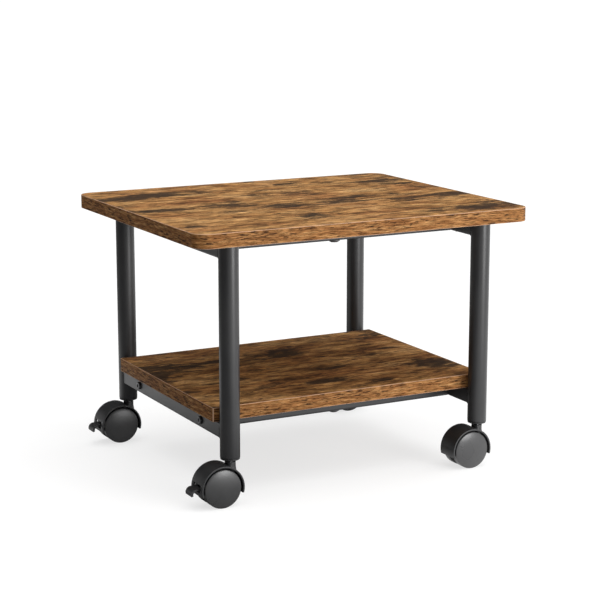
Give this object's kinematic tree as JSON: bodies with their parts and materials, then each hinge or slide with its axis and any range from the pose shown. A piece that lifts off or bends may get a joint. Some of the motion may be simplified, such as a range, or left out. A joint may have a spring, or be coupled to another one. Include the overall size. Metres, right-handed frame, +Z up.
{
  "type": "mobile printer stand",
  "caption": "Low rolling stand with a wide wooden top, a smaller lower shelf, a black steel tube frame and hooded swivel casters, some with a foot brake.",
  "frame": {"origin": "on the floor under the middle of the top board", "axes": "+X along the width towards the unbraked casters, +Y from front to back, +Z up"},
  "size_m": [0.481, 0.4, 0.3498],
  "materials": {
    "rustic_board": "satin rustic brown laminate",
    "powder_coated_tube": "fine satin black powder coat",
    "black_nylon": "satin moulded nylon",
    "caster_wheel": "satin moulded nylon",
    "black_fastener": "blackened zinc",
    "steel_pin": "bright zinc"
  },
  "bodies": {
    "frame": {"top_board": "rustic_board", "lower_shelf": "rustic_board", "leg_front_left": "powder_coated_tube", "leg_front_right": "powder_coated_tube", "leg_rear_left": "powder_coated_tube", "leg_rear_right": "powder_coated_tube", "side_rail_upper_left": "powder_coated_tube", "side_rail_upper_right": "powder_coated_tube", "side_rail_lower_left": "powder_coated_tube", "side_rail_lower_right": "powder_coated_tube", "cross_rail_upper_front": "powder_coated_tube", "cross_rail_upper_rear": "powder_coated_tube", "cross_rail_lower_front": "powder_coated_tube", "cross_rail_lower_rear": "powder_coated_tube", "rail_bolt_upper_front_left": "black_fastener", "rail_bolt_upper_front_right": "black_fastener", "rail_bolt_upper_rear_left": "black_fastener", "rail_bolt_upper_rear_right": "black_fastener", "rail_bolt_lower_front_left": "black_fastener", "rail_bolt_lower_front_right": "black_fastener", "rail_bolt_lower_rear_left": "black_fastener", "rail_bolt_lower_rear_right": "black_fastener", "centre_screw_upper_front": "black_fastener", "centre_screw_upper_rear": "black_fastener", "centre_screw_lower_front": "black_fastener", "centre_screw_lower_rear": "black_fastener", "side_screw_front_left": "black_fastener", "side_screw_front_right": "black_fastener", "side_screw_rear_left": "black_fastener", "side_screw_rear_right": "black_fastener", "leg_socket_front_left": "black_nylon", "leg_socket_front_right": "black_nylon", "leg_socket_rear_left": "black_nylon", "leg_socket_rear_right": "black_nylon", "caster_stem_front_left": "steel_pin", "caster_stem_front_right": "steel_pin", "caster_stem_rear_left": "steel_pin", "caster_stem_rear_right": "steel_pin"},
    "caster_front_left": {"caster_hood_front_left": "black_nylon", "caster_axle_front_left": "steel_pin"},
    "caster_front_right": {"caster_hood_front_right": "black_nylon", "caster_axle_front_right": "steel_pin"},
    "caster_rear_left": {"caster_hood_rear_left": "black_nylon", "caster_axle_rear_left": "steel_pin"},
    "caster_rear_right": {"caster_hood_rear_right": "black_nylon", "caster_axle_rear_right": "steel_pin"},
    "wheel_front_left_outer": {"wheel_front_left_outer": "caster_wheel"},
    "wheel_front_left_inner": {"wheel_front_left_inner": "caster_wheel"},
    "wheel_front_right_outer": {"wheel_front_right_outer": "caster_wheel"},
    "wheel_front_right_inner": {"wheel_front_right_inner": "caster_wheel"},
    "wheel_rear_left_outer": {"wheel_rear_left_outer": "caster_wheel"},
    "wheel_rear_left_inner": {"wheel_rear_left_inner": "caster_wheel"},
    "wheel_rear_right_outer": {"wheel_rear_right_outer": "caster_wheel"},
    "wheel_rear_right_inner": {"wheel_rear_right_inner": "caster_wheel"},
    "brake_front_left": {"brake_lever_front_left": "black_nylon"},
    "brake_rear_left": {"brake_lever_rear_left": "black_nylon"}
  },
  "joints": [
    {"name": "swivel_front_left", "type": "hinge", "parent": "frame", "child": "caster_front_left", "pos_m": [-0.1835, -0.166, 0.05], "axis": [0, 0, 1], "continuous": true},
    {"name": "swivel_front_right", "type": "hinge", "parent": "frame", "child": "caster_front_right", "pos_m": [0.1835, -0.166, 0.05], "axis": [0, 0, 1], "continuous": true},
    {"name": "swivel_rear_left", "type": "hinge", "parent": "frame", "child": "caster_rear_left", "pos_m": [-0.1835, 0.166, 0.05], "axis": [0, 0, 1], "continuous": true},
    {"name": "swivel_rear_right", "type": "hinge", "parent": "frame", "child": "caster_rear_right", "pos_m": [0.1835, 0.166, 0.05], "axis": [0, 0, 1], "continuous": true},
    {"name": "roll_front_left_outer", "type": "hinge", "parent": "caster_front_left", "child": "wheel_front_left_outer", "pos_m": [-0.2005, -0.166, 0.025], "axis": [0, 1, 0], "continuous": true},
    {"name": "roll_front_left_inner", "type": "hinge", "parent": "caster_front_left", "child": "wheel_front_left_inner", "pos_m": [-0.2005, -0.166, 0.025], "axis": [0, 1, 0], "continuous": true},
    {"name": "roll_front_right_outer", "type": "hinge", "parent": "caster_front_right", "child": "wheel_front_right_outer", "pos_m": [0.1665, -0.166, 0.025], "axis": [0, 1, 0], "continuous": true},
    {"name": "roll_front_right_inner", "type": "hinge", "parent": "caster_front_right", "child": "wheel_front_right_inner", "pos_m": [0.1665, -0.166, 0.025], "axis": [0, 1, 0], "continuous": true},
    {"name": "roll_rear_left_outer", "type": "hinge", "parent": "caster_rear_left", "child": "wheel_rear_left_outer", "pos_m": [-0.2005, 0.166, 0.025], "axis": [0, 1, 0], "continuous": true},
    {"name": "roll_rear_left_inner", "type": "hinge", "parent": "caster_rear_left", "child": "wheel_rear_left_inner", "pos_m": [-0.2005, 0.166, 0.025], "axis": [0, 1, 0], "continuous": true},
    {"name": "roll_rear_right_outer", "type": "hinge", "parent": "caster_rear_right", "child": "wheel_rear_right_outer", "pos_m": [0.1665, 0.166, 0.025], "axis": [0, 1, 0], "continuous": true},
    {"name": "roll_rear_right_inner", "type": "hinge", "parent": "caster_rear_right", "child": "wheel_rear_right_inner", "pos_m": [0.1665, 0.166, 0.025], "axis": [0, 1, 0], "continuous": true},
    {"name": "press_brake_front_left", "type": "hinge", "parent": "caster_front_left", "child": "brake_front_left", "pos_m": [-0.222, -0.166, 0.0285], "axis": [0, -1, 0], "range_deg": [0, 14]},
    {"name": "press_brake_rear_left", "type": "hinge", "parent": "caster_rear_left", "child": "brake_rear_left", "pos_m": [-0.222, 0.166, 0.0285], "axis": [0, -1, 0], "range_deg": [0, 14]}
  ]
}
